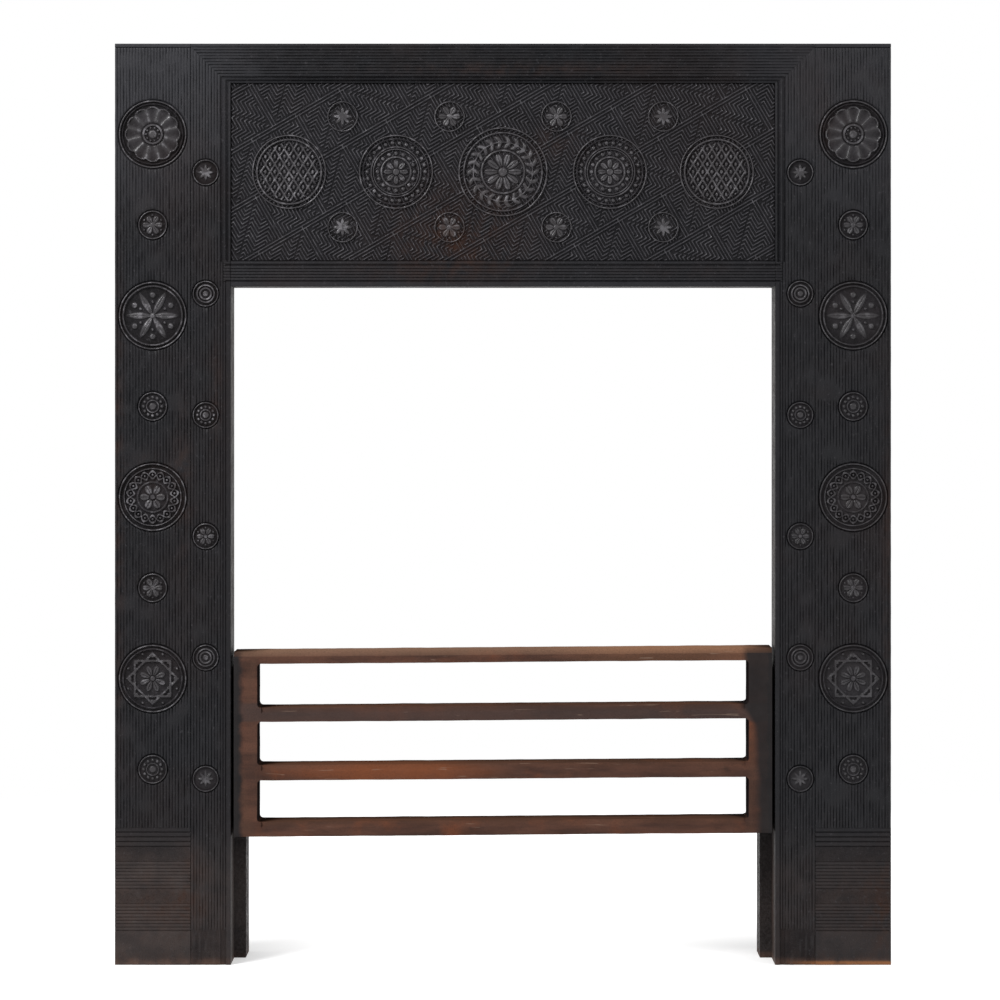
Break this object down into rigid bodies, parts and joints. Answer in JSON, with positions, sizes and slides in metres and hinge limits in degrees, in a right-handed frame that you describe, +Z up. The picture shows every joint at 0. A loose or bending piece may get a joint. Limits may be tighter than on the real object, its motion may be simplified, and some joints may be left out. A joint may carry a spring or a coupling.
{
  "type": "cast iron fireplace",
  "caption": "Cast iron fireplace front with reeded pilasters, an ornamental frieze over a square fire opening, and a loose barred grate front that lifts off.",
  "frame": {"origin": "middle of the footprint, on the hearth", "axes": "+Z up, +X to the right seen from the room, +Y away from the room into the chimney breast"},
  "size_m": [0.813, 0.086, 0.965],
  "materials": {
    "pilaster_iron": "blacked cast iron, satin, with brown wear low down",
    "frame_iron": "blacked cast iron, satin, with brown wear along the edges",
    "frieze_iron": "blacked cast iron, satin on the crests and dull in the ground",
    "leg_iron": "blacked cast iron, dull",
    "grate_iron": "bare cast iron with an even brown rust and scratches",
    "fastener_steel": "dull browned steel"
  },
  "bodies": {
    "surround": {"left_pilaster": "pilaster_iron", "right_pilaster": "pilaster_iron", "portal_frame": "frame_iron", "frieze_panel": "frieze_iron", "left_grate_leg": "leg_iron", "right_grate_leg": "leg_iron", "left_seam_low_bolt": "fastener_steel", "left_seam_middle_bolt": "fastener_steel", "left_seam_high_bolt": "fastener_steel", "right_seam_low_bolt": "fastener_steel", "right_seam_middle_bolt": "fastener_steel", "right_seam_high_bolt": "fastener_steel", "left_seam_low_nut": "fastener_steel", "left_seam_middle_nut": "fastener_steel", "left_seam_high_nut": "fastener_steel", "right_seam_low_nut": "fastener_steel", "right_seam_middle_nut": "fastener_steel", "right_seam_high_nut": "fastener_steel", "left_leg_low_bolt": "fastener_steel", "left_leg_high_bolt": "fastener_steel", "right_leg_low_bolt": "fastener_steel", "right_leg_high_bolt": "fastener_steel", "left_leg_low_nut": "fastener_steel", "left_leg_high_nut": "fastener_steel", "right_leg_low_nut": "fastener_steel", "right_leg_high_nut": "fastener_steel", "frieze_screw_1": "fastener_steel", "frieze_screw_2": "fastener_steel", "frieze_screw_3": "fastener_steel", "frieze_screw_4": "fastener_steel", "frieze_screw_5": "fastener_steel", "frieze_screw_6": "fastener_steel"},
    "grate": {"grate_front": "grate_iron"}
  },
  "joints": [
    {"name": "grate_lift", "type": "slide", "parent": "surround", "child": "grate", "axis": [0, 0, 1], "range_m": [0, 0.06]}
  ]
}
